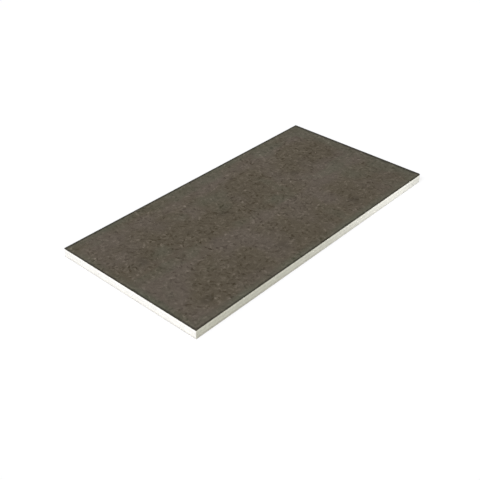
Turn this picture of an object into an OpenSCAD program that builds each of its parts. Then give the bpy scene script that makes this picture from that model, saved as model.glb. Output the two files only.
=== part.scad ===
// Polyiso roof insulation board: a rigid closed-cell foam core foamed between two
// glass-reinforced felt facers, then sawn square on all four sides.
// The origin is the centre of the underside. +X runs along the length, +Y across
// the width and +Z up through the thickness, with the top facer uppermost.

/* [Board] */
// Length of the board, along X
board_length = 2438.4; // [1219.2:0.8:3657.6]
// Width of the board, along Y
board_width = 1219.2; // [406.4:0.8:1828.8]
// Thickness of the foam core and both facers together
board_thickness = 63.5; // [12.7:0.1:127]

/* [Facers] */
// Thickness of the felt facer on the top
top_facer_thickness = 0.9; // [0.4:0.1:2]
// Thickness of the felt facer on the underside
bottom_facer_thickness = 0.9; // [0.4:0.1:2]

/* [Hidden] */
// The foam fills what the two facers leave of the board's thickness.
core_thickness = board_thickness - top_facer_thickness - bottom_facer_thickness;
core_bottom_z = bottom_facer_thickness;
top_facer_z = core_bottom_z + core_thickness;

felt_colour = [0.36, 0.34, 0.30];
foam_colour = [0.95, 0.94, 0.86];

// One layer of the board, which every saw cut trims to the same outline.
module layer(z, thickness) {
    translate([-board_length / 2, -board_width / 2, z])
        cube([board_length, board_width, thickness]);
}

// Rigid polyisocyanurate foam, bonded to both facers as it rises.
module foam_core() {
    color(foam_colour)
        layer(core_bottom_z, core_thickness);
}

// Felt of cellulose and glass fibre, on the side that faces up in use.
module top_facer() {
    color(felt_colour)
        layer(top_facer_z, top_facer_thickness);
}

// The same felt on the side that lies on the deck.
module bottom_facer() {
    color(felt_colour)
        layer(0, bottom_facer_thickness);
}

foam_core();
top_facer();
bottom_facer();
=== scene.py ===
# A rigid roof insulation board lying flat: polyiso foam between two felt facers, trimmed square.
# Everything is in metres. +X runs along the board, +Y across it and +Z up through its thickness.
import math
import random
import bmesh
import bpy
from mathutils import Matrix, Vector, noise


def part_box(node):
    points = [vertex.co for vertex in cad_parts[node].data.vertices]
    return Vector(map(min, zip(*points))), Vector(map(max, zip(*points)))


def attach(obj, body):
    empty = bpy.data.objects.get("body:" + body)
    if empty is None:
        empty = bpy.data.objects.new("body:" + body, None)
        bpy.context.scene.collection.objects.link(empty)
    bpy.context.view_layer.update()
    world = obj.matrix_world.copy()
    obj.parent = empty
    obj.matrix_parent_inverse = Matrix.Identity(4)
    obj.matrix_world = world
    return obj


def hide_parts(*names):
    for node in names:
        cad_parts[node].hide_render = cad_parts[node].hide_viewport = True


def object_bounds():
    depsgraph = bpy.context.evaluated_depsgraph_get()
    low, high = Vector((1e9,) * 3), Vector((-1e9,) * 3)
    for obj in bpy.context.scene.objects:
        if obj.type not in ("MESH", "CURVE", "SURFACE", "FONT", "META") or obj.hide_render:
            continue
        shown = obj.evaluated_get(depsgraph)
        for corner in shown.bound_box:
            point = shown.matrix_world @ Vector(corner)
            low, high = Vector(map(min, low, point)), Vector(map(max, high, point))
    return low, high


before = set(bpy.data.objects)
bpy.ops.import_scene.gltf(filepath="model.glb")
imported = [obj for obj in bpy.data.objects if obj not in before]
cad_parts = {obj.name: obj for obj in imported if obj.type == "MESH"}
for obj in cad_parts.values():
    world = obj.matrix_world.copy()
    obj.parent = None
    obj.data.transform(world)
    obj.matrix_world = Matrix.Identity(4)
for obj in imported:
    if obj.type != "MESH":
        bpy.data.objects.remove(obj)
cad_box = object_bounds()
millimetre = 0.001


# ---- Bottom facer ------------------------------------------------------------------------
# A web of glass-reinforced felt: grey-brown paper pulp with short glass fibres, calendered to
# about 0.9 mm. It runs into the laminator first, and the foam rises on it and bonds to it.

felt_cell = 12 * millimetre  # spacing of the points that carry the felt's unevenness
felt_unevenness = 0.25 * millimetre
felt_fraying = 0.3 * millimetre  # how far the trimmed rim wanders inwards
felt_arris = 0.2 * millimetre  # rounding of the outer edge of the cut
felt_brown = (0.0906, 0.0748, 0.0485)
felt_grey = (0.1008, 0.0831, 0.0607)
felt_olive = (0.0876, 0.0860, 0.0572)
felt_fleck = (0.0911, 0.0800, 0.0618)  # the greyer tint that light flecks add and dark ones take
felt_cut = (0.155, 0.146, 0.118)
felt_gloss = 0.15
felt_relief = 0.3 * millimetre
corner_knocks = {  # how far handling has rounded each corner of the board, by the signs of X and Y
    (-1, -1): 1.5 * millimetre,
    (1, -1): 20 * millimetre,
    (1, 1): 7 * millimetre,
    (-1, 1): 8 * millimetre,
}
felt_mark_length = 780 * millimetre  # the press's marks repeat at this distance along the board
felt_mark_width = 568 * millimetre
felt_mark_start = 175 * millimetre  # from the near long side to the first whole row of marks
felt_fibre_length = 14 * millimetre
felt_fibre_width = 0.5 * millimetre


def felt_sheet(name, cad_node, outward, seed):
    """A felt facer filling its CAD node: flat where it is bonded, gently uneven on its outer side."""
    low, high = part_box(cad_node)
    size = high - low
    bonded_z = low.z if outward > 0 else high.z
    sheet = bmesh.new()
    across = round(size.y / felt_cell)
    bmesh.ops.create_grid(sheet, x_segments=round(size.x / felt_cell), y_segments=across, size=0.5)
    bmesh.ops.scale(sheet, vec=(size.x, size.y, 1), verts=sheet.verts)
    bmesh.ops.translate(sheet, vec=(0, 0, bonded_z), verts=sheet.verts)
    rim = [edge for edge in sheet.edges if edge.is_boundary]
    bmesh.ops.subdivide_edges(sheet, edges=rim, cuts=3)
    for point in sheet.verts:
        if point.is_boundary:
            fray(point, size, seed)
    grown = bmesh.ops.extrude_face_region(sheet, geom=sheet.faces[:])["geom"]
    outer_points = [item for item in grown if isinstance(item, bmesh.types.BMVert)]
    bmesh.ops.translate(sheet, vec=(0, 0, outward * size.z), verts=outer_points)
    for point in outer_points:
        place = Vector((point.co.x, point.co.y, seed))
        dip = noise.fractal(place * 7, 0.7, 2.2, 3) * 0.5 + 0.5
        point.co.z -= outward * felt_unevenness * min(max(dip, 0), 1)
    bmesh.ops.recalc_face_normals(sheet, faces=sheet.faces)
    sheet.normal_update()
    rim = [item for item in grown if isinstance(item, bmesh.types.BMEdge)]
    rim = [edge for edge in rim if any(abs(face.normal.z) < 0.5 for face in edge.link_faces)]
    bmesh.ops.bevel(
        sheet, geom=rim, offset=felt_arris, segments=2, profile=0.5, affect="EDGES", material=-1
    )
    return finish_mesh(name, sheet)


def fray(point, size, seed):
    """Moves one point of the trimmed rim inwards, by more where the saw pulled the felt's fibres."""
    place = Vector((point.co.x, point.co.y, seed))
    pulled = abs(noise.noise(place * 40)) * 0.6 + abs(noise.noise(place * 170)) * 0.8
    move_inwards(point, size, felt_fraying * min(pulled, 1))


def move_inwards(point, size, inward, dent=0):
    """Moves one point of the board's rim inwards, from where knocks have rounded the corners.

    In the middle of a rounded corner it goes in further, by dent times the corner's radius.
    """
    sides = (math.copysign(1, point.co.x), math.copysign(1, point.co.y))
    radius = corner_knocks[sides]
    straight = Vector((size.x / 2 - radius, size.y / 2 - radius))
    past = Vector((max(abs(point.co.x) - straight.x, 0), max(abs(point.co.y) - straight.y, 0)))
    if min(past) > 0:
        past = past.normalized() * radius
        inward += dent * 2 * past.x * past.y / radius
    moved = past - past.normalized() * inward
    if past.x:
        point.co.x = sides[0] * (straight.x + moved.x)
    if past.y:
        point.co.y = sides[1] * (straight.y + moved.y)


def finish_mesh(name, shape):
    """Makes a piece from a shape, smooth over its gentle bends and sharp at its corners."""
    mesh = bpy.data.meshes.new(name)
    for face in shape.faces:
        face.smooth = True
    shape.to_mesh(mesh)
    shape.free()
    mesh.set_sharp_from_angle(angle=math.radians(30))
    piece = bpy.data.objects.new(name, mesh)
    bpy.context.scene.collection.objects.link(piece)
    return piece


def add(tree, kind, inputs, **settings):
    """Adds a shader node. Each input is a value or another node's output."""
    made = tree.nodes.new("ShaderNode" + kind)
    for setting, value in settings.items():
        setattr(made, setting, value)
    for socket, value in inputs.items():
        if isinstance(value, bpy.types.NodeSocket):
            tree.links.new(value, made.inputs[socket])
        else:
            made.inputs[socket].default_value = value
    return made


def calculate(tree, operation, *values):
    return add(tree, "Math", dict(enumerate(values)), operation=operation).outputs[0]


def spread(tree, value, low, high, bottom, top, smooth=False):
    """Turns low..high of a value into bottom..top, and holds it there beyond them."""
    inputs = {"Value": value, "From Min": low, "From Max": high, "To Min": bottom, "To Max": top}
    kind = "SMOOTHSTEP" if smooth else "LINEAR"
    return add(tree, "MapRange", inputs, interpolation_type=kind).outputs[0]


def cloud(tree, place, scale, detail, roughness, amount):
    """Soft random patches that swing a factor by about amount either side of 1."""
    inputs = {"Vector": place, "Scale": scale, "Detail": detail, "Roughness": roughness}
    patches = add(tree, "TexNoise", inputs).outputs["Fac"]
    return spread(tree, patches, 0.2, 0.8, 1 - amount, 1 + amount)


def strands(tree, place, cell, length, width, offset):
    """Short straight strands, one to a cell and each at its own angle. Returns (mask, random number).

    The offset also turns the cells, so that the rows of two layers don't line up.
    """
    moved = add(
        tree,
        "Mapping",
        {"Vector": place, "Location": (*offset, 0), "Rotation": (0, 0, offset[0]),
         "Scale": (1 / cell, 1 / cell, 0)},
    ).outputs[0]
    cells = add(tree, "TexVoronoi", {"Vector": moved, "Scale": 1}, voronoi_dimensions="2D")
    chance = add(tree, "SeparateColor", {"Color": cells.outputs["Color"]})
    from_middle = add(
        tree, "VectorMath", {0: moved, 1: cells.outputs["Position"]}, operation="SUBTRACT"
    ).outputs[0]
    angle = calculate(tree, "MULTIPLY", chance.outputs[0], math.pi)
    turned = add(
        tree, "VectorRotate", {"Vector": from_middle, "Angle": angle}, rotation_type="Z_AXIS"
    ).outputs[0]
    squeeze = (2 * cell / length, 2 * cell / width, 0)
    squeezed = add(tree, "VectorMath", {0: turned, 1: squeeze}, operation="MULTIPLY").outputs[0]
    reach = add(tree, "VectorMath", {0: squeezed}, operation="LENGTH").outputs["Value"]
    return spread(tree, reach, 0.7, 1.05, 1, 0, smooth=True), chance.outputs[1]


def through(tree, value, start, length):
    """How far a point is through a pattern that repeats every length, from 0 to 1."""
    from_start = calculate(tree, "SUBTRACT", value, start)
    return calculate(tree, "FRACT", calculate(tree, "DIVIDE", from_start, length))


def ridge(tree, value, low, crest_low, crest_high, high):
    """0 up to low, 1 from crest_low to crest_high and 0 again from high, with soft slopes."""
    rising = spread(tree, value, low, crest_low, 0, 1, smooth=True)
    falling = spread(tree, value, crest_high, high, 1, 0, smooth=True)
    return calculate(tree, "MULTIPLY", rising, falling)


def wavering(tree, vector, place, scale, detail, roughness, amount):
    """Moves a vector this way and that by up to about a quarter of amount."""
    inputs = {"Vector": place, "Scale": scale, "Detail": detail, "Roughness": roughness}
    drift = add(tree, "TexNoise", inputs).outputs["Color"]
    drift = add(tree, "VectorMath", {0: drift, 1: (0.5, 0.5, 0.5)}, operation="SUBTRACT").outputs[0]
    drift = add(tree, "VectorMath", {0: drift, "Scale": amount}, operation="SCALE").outputs[0]
    return add(tree, "VectorMath", {0: vector, 1: drift}, operation="ADD").outputs[0]


def press_marks(tree, own, place, size):
    """The marks that the press leaves on the wet web, alike at every turn along it and across it.

    Each one is a thick brown patch with two worn spots, and a thinner and paler border with a damp
    line in it. Returns the paleness, the damp line and the shade of the worn spots.
    """
    swayed = wavering(tree, own, place, 6, 2, 0.5, 0.1)
    swayed = add(tree, "SeparateXYZ", {"Vector": swayed})
    along = through(tree, swayed.outputs[0], -size.x / 2, felt_mark_length)
    across = through(tree, swayed.outputs[1], felt_mark_start - size.y / 2, felt_mark_width)

    slope = spread(tree, across, 0, 0.55, 0, 0.65)
    slope = calculate(tree, "MULTIPLY", slope, spread(tree, across, 0.6, 0.95, 1, 0))
    crest = ridge(tree, across, 0.44, 0.54, 0.6, 0.75)
    lane = calculate(tree, "MULTIPLY_ADD", crest, 0.35, slope)
    column = ridge(tree, along, 0, 0.12, 0.2, 0.42)
    column = calculate(tree, "MULTIPLY", column, spread(tree, across, 0.05, 0.18, 0.45, 0.9))
    column = calculate(tree, "MULTIPLY", column, spread(tree, across, 0.55, 0.95, 1, 0.45))
    pale = calculate(tree, "MAXIMUM", lane, column)

    damp_across = ridge(tree, across, 0.562, 0.642, 0.742, 0.822)
    from_middle = calculate(tree, "ABSOLUTE", calculate(tree, "SUBTRACT", along, 0.5))
    damp_along = spread(tree, from_middle, 0.42, 0.47, 0, 1, smooth=True)
    damp_line = calculate(tree, "MAXIMUM", damp_across, damp_along)

    worn = 1
    for spot_along, spot_across, radius, dark in (
        (0.31, 0.474, 65 * millimetre, 0.8),
        (0.9, 0.485, 55 * millimetre, 0.93),
    ):
        right = calculate(tree, "SUBTRACT", along, spot_along)
        right = calculate(tree, "MULTIPLY", right, felt_mark_length)
        up = calculate(tree, "SUBTRACT", through(tree, across, 0.5, 1), spot_across)
        up = calculate(tree, "MULTIPLY", up, felt_mark_width)
        away = add(tree, "CombineXYZ", {0: right, 1: up}).outputs[0]
        away = add(tree, "VectorMath", {0: away}, operation="LENGTH").outputs["Value"]
        spot = spread(tree, away, radius / 5, radius, dark, 1, smooth=True)
        worn = calculate(tree, "MULTIPLY", worn, spot)
    return pale, damp_line, worn


def felt_finish(name, size, offset):
    """The felt's material: a mottled pulp with lighter and darker clumps, and glass fibres in it."""
    material = bpy.data.materials.new(name)
    material.use_nodes = True
    tree = material.node_tree
    surface = tree.nodes["Principled BSDF"]
    own = add(tree, "TexCoord", {}).outputs["Object"]
    place = add(tree, "Mapping", {"Vector": own, "Location": (*offset, 0)}).outputs[0]

    # The press's marks, and the pulp's cloudiness all over them.
    pale, damp_line, worn = press_marks(tree, own, place, size)
    shade = calculate(tree, "MULTIPLY", worn, spread(tree, pale, 0, 1, 0.989, 1.041))
    shade = calculate(tree, "MULTIPLY", shade, cloud(tree, place, 13, 2, 0.5, 0.03))
    shade = calculate(tree, "MULTIPLY", shade, cloud(tree, place, 38, 2, 0.5, 0.075))

    # Where the web drained well it is paler and greyer. Where it stayed damp it is greener and more
    # even.
    tints = add(
        tree, "TexNoise", {"Vector": place, "Scale": 3.5, "Detail": 2, "Roughness": 0.4}
    ).outputs["Color"]
    tints = add(tree, "SeparateColor", {"Color": tints})
    drained = calculate(tree, "MULTIPLY_ADD", pale, 0.3, tints.outputs[0])
    drained = spread(tree, drained, 0.54, 0.8, 0, 1)
    damp = calculate(tree, "MULTIPLY_ADD", damp_line, 0.15, tints.outputs[1])
    damp = spread(tree, damp, 0.58, 0.74, 0, 0.55)
    shade = calculate(tree, "MULTIPLY", shade, spread(tree, drained, 0, 1, 0.997, 1.016))
    shade = calculate(tree, "MULTIPLY", shade, spread(tree, damp, 0, 0.55, 0.99, 1.03))
    crispness = spread(tree, tints.outputs[2], 0.35, 0.6, 1.35, 0.92)
    crispness = calculate(tree, "MULTIPLY", crispness, spread(tree, damp, 0, 0.55, 1, 0.7))
    crispness = calculate(tree, "MULTIPLY", crispness, spread(tree, drained, 0, 1, 1.09, 0.88))
    crowding = add(tree, "TexNoise", {"Vector": place, "Scale": 15, "Detail": 1}).outputs["Fac"]
    crowding = spread(tree, crowding, 0.4, 0.6, 0.72, 1.25, smooth=True)
    crispness = calculate(tree, "MULTIPLY", crispness, crowding)

    # Flecks: the pulp's grain, its pale and dark clumps, then the glass fibres.
    grain = cloud(tree, place, 110, 2, 0.6, 0.09)
    flecks = calculate(tree, "MULTIPLY", grain, cloud(tree, place, 700, 2, 0.6, 0.15))
    ruffled = wavering(tree, place, place, 45, 5, 0.72, 0.028)
    flock = add(
        tree, "TexNoise", {"Vector": place, "Scale": 240, "Detail": 3, "Roughness": 0.6}
    ).outputs["Fac"]
    crispness = calculate(tree, "MULTIPLY", crispness, spread(tree, flock, 0.38, 0.62, 0.25, 1.75))
    for cell, length, width, seed, most, least in (
        (42, 48, 17, 1, 0.205, -0.2),
        (40, 46, 16, 2, 0.215, -0.21),
        (34, 38, 14, 3, 0.24, -0.245),
    ):
        mask, chance = strands(
            tree, ruffled, cell * millimetre, length * millimetre, width * millimetre,
            (seed, seed * 2.7),
        )
        lighter = spread(tree, chance, 0.55, 0.8, 0, most)
        darker = spread(tree, chance, 0.15, 0.35, least, 0)
        strength = calculate(tree, "ADD", lighter, darker)
        strength = calculate(tree, "MULTIPLY", strength, crispness)
        lifted = calculate(tree, "MULTIPLY_ADD", mask, strength, 1)
        flecks = calculate(tree, "MULTIPLY", flecks, lifted)
    fibres = None
    for seed in (5, 6, 7, 8):
        mask, chance = strands(
            tree, place, 11 * millimetre, felt_fibre_length, felt_fibre_width, (seed * 3.1, seed)
        )
        strength = spread(tree, chance, 0.3, 1, 0, 1)
        seen = calculate(tree, "MULTIPLY", mask, strength)
        fibres = seen if fibres is None else calculate(tree, "MAXIMUM", fibres, seen)
    flecks = calculate(tree, "MULTIPLY", flecks, calculate(tree, "MULTIPLY_ADD", fibres, 0.8, 0.98))

    # Towards the trimmed rim the felt is pressed thin and dark. Beside that a paler band is a
    # painted highlight, as of a slight roll catching the light, and further in foam dust greys it.
    # All reach furthest in at the far end, and the felt is also darker towards the far end.
    apart = add(tree, "VectorMath", {0: own}, operation="ABSOLUTE").outputs[0]
    apart = add(tree, "VectorMath", {0: size / 2, 1: apart}, operation="SUBTRACT").outputs[0]
    apart = add(tree, "SeparateXYZ", {"Vector": apart})
    from_rim = calculate(tree, "MINIMUM", apart.outputs[0], apart.outputs[1])
    at = add(tree, "SeparateXYZ", {"Vector": own})
    reach = spread(tree, at.outputs[0], -size.x / 2, size.x / 2, 1.3, 0.66)
    from_end = calculate(tree, "MULTIPLY", apart.outputs[0], reach)
    reach = spread(tree, at.outputs[1], -size.y / 2, size.y / 2, 1.3, 1)
    from_side = calculate(tree, "MULTIPLY", apart.outputs[1], reach)
    worked = calculate(tree, "MINIMUM", from_end, from_side)
    dusted = spread(tree, worked, 20 * millimetre, 100 * millimetre, 0.66, 0, smooth=True)
    dusted = calculate(tree, "MULTIPLY", dusted, cloud(tree, place, 3, 1, 0.5, 0.8))
    torn = spread(tree, at.outputs[1], -size.y / 2, size.y / 4, 0.85, 1)
    from_end = calculate(tree, "MULTIPLY", from_end, torn)
    pressed = calculate(tree, "MINIMUM", from_end, from_side)
    pressed = calculate(tree, "MULTIPLY", pressed, cloud(tree, place, 14, 2, 0.5, 0.35))
    pressed = spread(tree, pressed, 10.4 * millimetre, 22.1 * millimetre, 0.5, 1, smooth=True)
    shade = calculate(tree, "MULTIPLY", shade, pressed)
    # Painted highlight: a paler band beside the dark rim.
    rim_roll_highlight = ridge(
        tree, worked, 18 * millimetre, 26 * millimetre, 32 * millimetre, 45 * millimetre
    )
    shade = calculate(tree, "MULTIPLY", shade, calculate(tree, "MULTIPLY_ADD", rim_roll_highlight, 0.06, 1))
    darker_far_end = spread(tree, at.outputs[0], size.x * 0.2, size.x * 0.5, 1, 0.95)
    shade = calculate(tree, "MULTIPLY", shade, darker_far_end)

    colour = add(
        tree,
        "Mix",
        {"Factor": drained, 6: (*felt_brown, 1), 7: (*felt_grey, 1)},
        data_type="RGBA",
    ).outputs[2]
    olive = calculate(tree, "MAXIMUM", dusted, damp)
    colour = add(
        tree, "Mix", {"Factor": olive, 6: colour, 7: (*felt_olive, 1)}, data_type="RGBA"
    ).outputs[2]
    colour = add(tree, "VectorMath", {0: colour, "Scale": shade}, operation="SCALE").outputs[0]
    # The flecks go on top in a greyer tint of their own.
    added = calculate(tree, "MULTIPLY", shade, calculate(tree, "SUBTRACT", flecks, 1))
    added = add(tree, "VectorMath", {0: felt_fleck, "Scale": added}, operation="SCALE").outputs[0]
    colour = add(tree, "VectorMath", {0: colour, 1: added}, operation="ADD").outputs[0]
    shade = calculate(tree, "MULTIPLY", shade, flecks)

    # On the cut itself the saw leaves pale fibre ends, with foam dust between them.
    cut = spread(tree, from_rim, 0.5 * millimetre, 0.9 * millimetre, 1, 0)
    ends = cloud(tree, place, 300, 3, 0.7, 0.6)
    ends = add(tree, "VectorMath", {0: felt_cut, "Scale": ends}, operation="SCALE").outputs[0]
    colour = add(tree, "Mix", {"Factor": cut, 6: colour, 7: ends}, data_type="RGBA").outputs[2]
    tree.links.new(colour, surface.inputs["Base Color"])
    tree.links.new(spread(tree, shade, 0.6, 1.4, 0.96, 0.8), surface.inputs["Roughness"])
    surface.inputs["Specular IOR Level"].default_value = felt_gloss
    bump = add(tree, "Bump", {"Height": shade, "Strength": 0.35, "Distance": felt_relief})
    tree.links.new(bump.outputs["Normal"], surface.inputs["Normal"])
    return material


board_size = cad_box[1] - cad_box[0]
bottom_facer = felt_sheet("bottom_felt_facer", "bottom_facer", outward=-1, seed=31)
bottom_facer.data.materials.append(felt_finish("felt_underside", board_size, (3.7, 1.9)))
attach(bottom_facer, "root")
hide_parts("bottom_facer")


# ---- Foam core ---------------------------------------------------------------------------
# Closed-cell polyiso foam. It rises as cream-coloured froth between the facers and sets hard,
# then saws trim the four sides, which show cut cells, small blow-holes and faint rise lines.
# Being brittle, it crushes a little where a corner is knocked.

foam_cell = 3 * millimetre
foam_setback = 0.4 * millimetre  # the sawn foam springs back a little behind the facers' rims
foam_saw_wander = 0.2 * millimetre
foam_crumbling = 0.5 * millimetre
foam_denting = 0.2  # depth of the dents in a rounded corner, as a share of its radius
foam_hole_count = 520
foam_hole_radii = (0.55 * millimetre, 0.8 * millimetre, 1.15 * millimetre)
foam_cream = (0.82, 0.814, 0.729)
# Tan of the foam's skins, which also paints the shade along the foot.
skin_and_foot_shade_tan = (0.58, 0.555, 0.47)
foam_gloss = 0.15
foam_relief = 0.3 * millimetre
foam_rise_lines = ((25.5 * millimetre, -0.06), (50.5 * millimetre, -0.045))  # depth and strength

core_low, core_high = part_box("foam_core")
core_size = core_high - core_low
core = bmesh.new()
bmesh.ops.create_cube(core, size=1)
bmesh.ops.scale(core, vec=core_size, verts=core.verts)
bmesh.ops.translate(core, vec=(core_low + core_high) / 2, verts=core.verts)
lids = [face for face in core.faces if abs(face.normal.z) > 0.5]
bmesh.ops.delete(core, geom=lids, context="FACES_ONLY")
for axis in range(3):
    along = [e for e in core.edges if abs((e.verts[0].co - e.verts[1].co)[axis]) > foam_cell]
    cuts = round(core_size[axis] / foam_cell) - 1
    bmesh.ops.subdivide_edges(core, edges=along, cuts=cuts, use_grid_fill=True)


def sawn(point):
    """Moves one point of the trimmed sides inwards.

    The saw wanders everywhere, the foam crumbles by the facers, and knocks have dented the corners.
    """
    place = point.co.copy()
    wander = noise.noise(Vector((place.x * 6, place.y * 6, place.z * 60))) * 0.5 + 0.5
    grain = abs(noise.noise(place * 210))
    from_facer = min(place.z - core_low.z, core_high.z - place.z)
    by_facer = max(0, 1 - from_facer / (2 * foam_cell))
    inward = foam_setback + foam_saw_wander * (wander + grain)
    inward += foam_crumbling * by_facer * abs(noise.noise(place * 90 + Vector((5, 5, 5))))
    dent = abs(noise.noise(place * 45)) + abs(noise.noise(place * 130)) * 0.6
    move_inwards(point, core_size, inward, foam_denting * min(dent, 1))


for point in core.verts:
    sawn(point)
core.normal_update()
chooser = random.Random(12)
inner = [f for f in core.faces if not any(edge.is_boundary for edge in f.edges)]
holes = chooser.sample(inner, foam_hole_count)
bmesh.ops.inset_individual(core, faces=holes, thickness=foam_cell * 0.1, depth=0)
bmesh.ops.bisect_edges(core, edges=[edge for face in holes for edge in face.edges], cuts=1)
for first, radius in enumerate(foam_hole_radii):
    alike = holes[first::len(foam_hole_radii)]
    for hole in alike:
        middle = hole.calc_center_median()
        for point in hole.verts:
            outward = (point.co - middle).normalized()
            point.co = middle + outward * radius * chooser.uniform(0.75, 1.15)
    bmesh.ops.inset_individual(core, faces=alike, thickness=radius * 0.35, depth=-radius * 1.3)
bmesh.ops.holes_fill(core, edges=[e for e in core.edges if e.is_boundary], sides=0)
bmesh.ops.recalc_face_normals(core, faces=core.faces)
foam = finish_mesh("sawn_foam_core", core)


def foam_finish():
    """The foam's material: pale cream cut cells, with rise lines along it and denser skins."""
    material = bpy.data.materials.new("polyiso_foam")
    material.use_nodes = True
    tree = material.node_tree
    surface = tree.nodes["Principled BSDF"]
    own = add(tree, "TexCoord", {}).outputs["Object"]
    apart = add(tree, "SeparateXYZ", {"Vector": own})

    lines = add(tree, "Mapping", {"Vector": own, "Scale": (1.5, 1.5, 110)}).outputs[0]
    shade = cloud(tree, lines, 1, 3, 0.6, 0.035)
    for scale, detail, roughness, amount in (
        (9, 2, 0.5, 0.03),
        (35, 2, 0.6, 0.055),
        (160, 2, 0.6, 0.07),
        (900, 1, 0.5, 0.1),
    ):
        shade = calculate(tree, "MULTIPLY", shade, cloud(tree, own, scale, detail, roughness, amount))
    # Painted shade: small dark dots in the foam's open pits.
    pit_shade = add(tree, "TexVoronoi", {"Vector": own, "Scale": 100}).outputs["Distance"]
    shade = calculate(tree, "MULTIPLY", shade, spread(tree, pit_shade, 0.06, 0.11, 0.72, 1))
    cells = add(tree, "TexVoronoi", {"Vector": own, "Scale": 1300}).outputs["Distance"]

    below = calculate(tree, "SUBTRACT", core_high.z, apart.outputs[2])
    above = calculate(tree, "SUBTRACT", apart.outputs[2], core_low.z)
    # Painted light: the sides are painted paler just under the top facer, where they catch more
    # light.
    lit_top_strip = spread(tree, below, 12 * millimetre, 20 * millimetre, 1.065, 0.99, smooth=True)
    shade = calculate(tree, "MULTIPLY", shade, lit_top_strip)
    # Two darker rise lines run along the board, so that they hardly show on its ends.
    from_end = calculate(tree, "ABSOLUTE", apart.outputs[0])
    from_end = calculate(tree, "SUBTRACT", core_high.x, from_end)
    showing = spread(tree, from_end, 1 * millimetre, 20 * millimetre, 0.35, 1)
    for depth, strength in foam_rise_lines:
        from_line = calculate(tree, "ABSOLUTE", calculate(tree, "SUBTRACT", below, depth))
        line = spread(tree, from_line, 2 * millimetre, 8 * millimetre, strength, 0)
        line = calculate(tree, "MULTIPLY_ADD", line, showing, 1)
        shade = calculate(tree, "MULTIPLY", shade, line)
    # Painted shade: the foam darkens towards the far end, where the corner turns from the lamps.
    from_far_end = calculate(tree, "SUBTRACT", core_high.x, apart.outputs[0])
    far_end_shade = spread(tree, from_far_end, 90 * millimetre, 210 * millimetre, 0.92, 1, smooth=True)
    shade = calculate(tree, "MULTIPLY", shade, far_end_shade)
    # The foam sets in a tan skin against each facer. The lower skin's tan also paints shade along
    # the foot where the board meets the floor, strongest towards the bright end.
    top_skin = spread(tree, below, 0.5 * millimetre, 3 * millimetre, 0.3, 0, smooth=True)
    bottom_skin_and_foot_shade = ridge(
        tree, above, -4 * millimetre, 1 * millimetre, 5 * millimetre, 18 * millimetre
    )
    # Strength of the painted foot shade along the board, most at the bright end.
    foot_shade_strength = spread(tree, apart.outputs[0], core_low.x, core_high.x, 0.33, 0.07)
    bright_end_reach = core_low.x + 20 * millimetre
    by_bright_end = spread(tree, apart.outputs[0], core_low.x, bright_end_reach, 1.42, 1)
    foot_shade_strength = calculate(tree, "MULTIPLY", foot_shade_strength, by_bright_end)
    bottom_skin_and_foot_shade = calculate(tree, "MULTIPLY", bottom_skin_and_foot_shade, foot_shade_strength)
    skins_and_foot_shade = calculate(tree, "MAXIMUM", top_skin, bottom_skin_and_foot_shade)
    colour = add(
        tree, "Mix", {"Factor": skins_and_foot_shade, 6: (*foam_cream, 1), 7: (*skin_and_foot_shade_tan, 1)}, data_type="RGBA"
    ).outputs[2]
    tree.links.new(
        add(tree, "VectorMath", {0: colour, "Scale": shade}, operation="SCALE").outputs[0],
        surface.inputs["Base Color"],
    )
    tree.links.new(spread(tree, cells, 0, 0.6, 0.95, 0.8), surface.inputs["Roughness"])
    surface.inputs["Specular IOR Level"].default_value = foam_gloss
    relief = calculate(tree, "MULTIPLY_ADD", cells, 0.4, shade)
    bump = add(tree, "Bump", {"Height": relief, "Strength": 0.4, "Distance": foam_relief})
    tree.links.new(bump.outputs["Normal"], surface.inputs["Normal"])
    return material


foam.data.materials.append(foam_finish())
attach(foam, "root")
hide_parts("foam_core")


# ---- Top facer ---------------------------------------------------------------------------
# The second web of the same felt, which runs in on top of the rising foam. Its outer side takes
# the weather on the pallet and the adhesive on the roof, and is left bare.

top_facer = felt_sheet("top_felt_facer", "top_facer", outward=1, seed=17)
top_facer.data.materials.append(felt_finish("felt_top", board_size, (3.3, 6.4)))
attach(top_facer, "root")
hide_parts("top_facer")


# ---- Studio floor ------------------------------------------------------------------------
# A wide sheet of white paper under the board. It keeps a faint shadow and fades into the white
# surroundings without a horizon.

floor_reach = 40
floor_glow = 0.8  # how much of the paper's look is plain white and not lit
floor_white = 1.015
floor_bounce = (0.80, 0.795, 0.704)  # the paper's colour where it throws light back on the board
floor_shape = bmesh.new()
bmesh.ops.create_grid(floor_shape, x_segments=1, y_segments=1, size=floor_reach)
floor = finish_mesh("studio_floor", floor_shape)


def seen_directly(tree):
    """1 for what the camera sees, straight or in a shiny or clear thing, and 0 for what lights."""
    ray = add(tree, "LightPath", {})
    straight_or_glossy = calculate(
        tree, "MAXIMUM", ray.outputs["Is Camera Ray"], ray.outputs["Is Glossy Ray"]
    )
    return calculate(tree, "MAXIMUM", straight_or_glossy, ray.outputs["Is Transmission Ray"])


paper = bpy.data.materials.new("white_paper")
paper.use_nodes = True
tree = paper.node_tree
tree.nodes.clear()
seen = seen_directly(tree)
paper_shade = add(
    tree, "Mix", {"Factor": seen, 6: (*floor_bounce, 1), 7: (1, 1, 1, 1)}, data_type="RGBA"
).outputs[2]
lit = add(tree, "BsdfDiffuse", {"Color": paper_shade}).outputs[0]
white = add(tree, "Emission", {"Strength": floor_white}).outputs[0]
glow = calculate(tree, "MULTIPLY", seen, floor_glow)
both = add(tree, "MixShader", {0: glow, 1: lit, 2: white}).outputs[0]
add(tree, "OutputMaterial", {"Surface": both})
floor.data.materials.append(paper)


# ---- Studio light ------------------------------------------------------------------------
# White walls give the fill. One large soft lamp stands beyond the board's bright end, and a
# small one stands low beside the far end of the long side.

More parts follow.
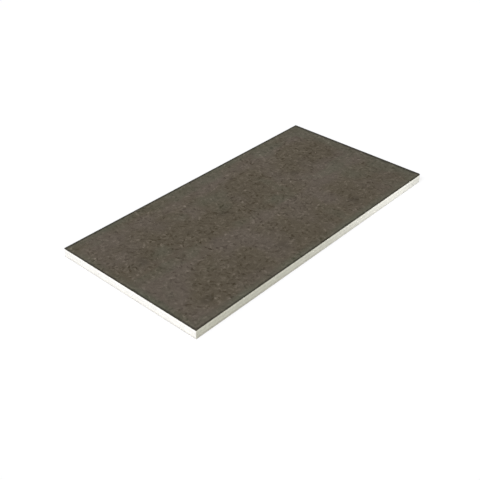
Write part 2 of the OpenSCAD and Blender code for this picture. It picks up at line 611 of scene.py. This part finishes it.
fill_level = 0.39
fill_tint = (1, 1, 0.87)
key_level = 0.85
key_tint = (1.0, 0.995, 1.215)
key_softness = math.radians(30)
key_azimuth = -95
key_elevation = 45
end_lamp_power = 3.3
end_lamp_tint = (1, 1, 1.15)
end_lamp_size = (0.5, 0.04)
end_lamp_place = (0.92, cad_box[0].y - 0.85, 0.04)
surroundings = bpy.data.worlds.new("studio_surroundings")
bpy.context.scene.world = surroundings
surroundings.use_nodes = True
tree = surroundings.node_tree
tree.nodes.clear()
fill = add(tree, "Background", {"Strength": fill_level}).outputs[0]
backdrop = add(tree, "Background", {"Strength": 1}).outputs[0]
fill.node.inputs["Color"].default_value = (*fill_tint, 1)
backdrop.node.inputs["Color"].default_value = (1, 1, 1, 1)
both = add(tree, "MixShader", {0: seen_directly(tree), 1: fill, 2: backdrop}).outputs[0]
add(tree, "OutputWorld", {"Surface": both})


def direction(azimuth, elevation):
    """Unit vector towards a viewpoint. Azimuth 0 looks along +Y, and elevation is above the floor."""
    turn, rise = math.radians(azimuth), math.radians(elevation)
    flat = math.cos(rise)
    return Vector((math.sin(turn) * flat, -math.cos(turn) * flat, math.sin(rise)))


key_lamp = bpy.data.lights.new("key_lamp", "SUN")
key_lamp.energy = math.pi * key_level
key_lamp.angle = key_softness
key_lamp.color = key_tint
key = bpy.data.objects.new("key_lamp", key_lamp)
key.rotation_euler = direction(key_azimuth, key_elevation).to_track_quat("Z", "Y").to_euler()
bpy.context.scene.collection.objects.link(key)

end_lamp = bpy.data.lights.new("end_lamp", "AREA")
end_lamp.shape = "RECTANGLE"
end_lamp.size, end_lamp.size_y = end_lamp_size
end_lamp.energy = end_lamp_power
end_lamp.color = end_lamp_tint
end = bpy.data.objects.new("end_lamp", end_lamp)
end.location = end_lamp_place
end.rotation_euler = Vector((0, -1, 0)).to_track_quat("Z", "Y").to_euler()
end.visible_camera = False
bpy.context.scene.collection.objects.link(end)


# ---- Camera ------------------------------------------------------------------------------
# A 60 mm lens about five metres from the board, looking down across its near corner.

camera_azimuth = -48.28
camera_elevation = 34.72
camera_roll = math.radians(0.42)
camera_distance = 5.511
camera_aim = Vector((-0.2954, -0.1209, 0))
camera_lens = 60.5  # in millimetres, as Blender has it, on a 36 mm sensor
camera_sensor = 36
back = direction(camera_azimuth, camera_elevation)
level = Vector((0, 0, 1)).cross(back).normalized()
up = back.cross(level)
right = level * math.cos(camera_roll) + up * math.sin(camera_roll)
up = up * math.cos(camera_roll) - level * math.sin(camera_roll)
lens = bpy.data.cameras.new("camera")
lens.lens = camera_lens
lens.sensor_width = camera_sensor
lens.clip_end = 200
camera = bpy.data.objects.new("camera", lens)
stand = Matrix((right, up, back)).transposed().to_4x4()
stand.translation = camera_aim + back * camera_distance
camera.matrix_world = stand
bpy.context.scene.collection.objects.link(camera)
bpy.context.scene.camera = camera
bpy.context.scene.view_settings.view_transform = "Standard"
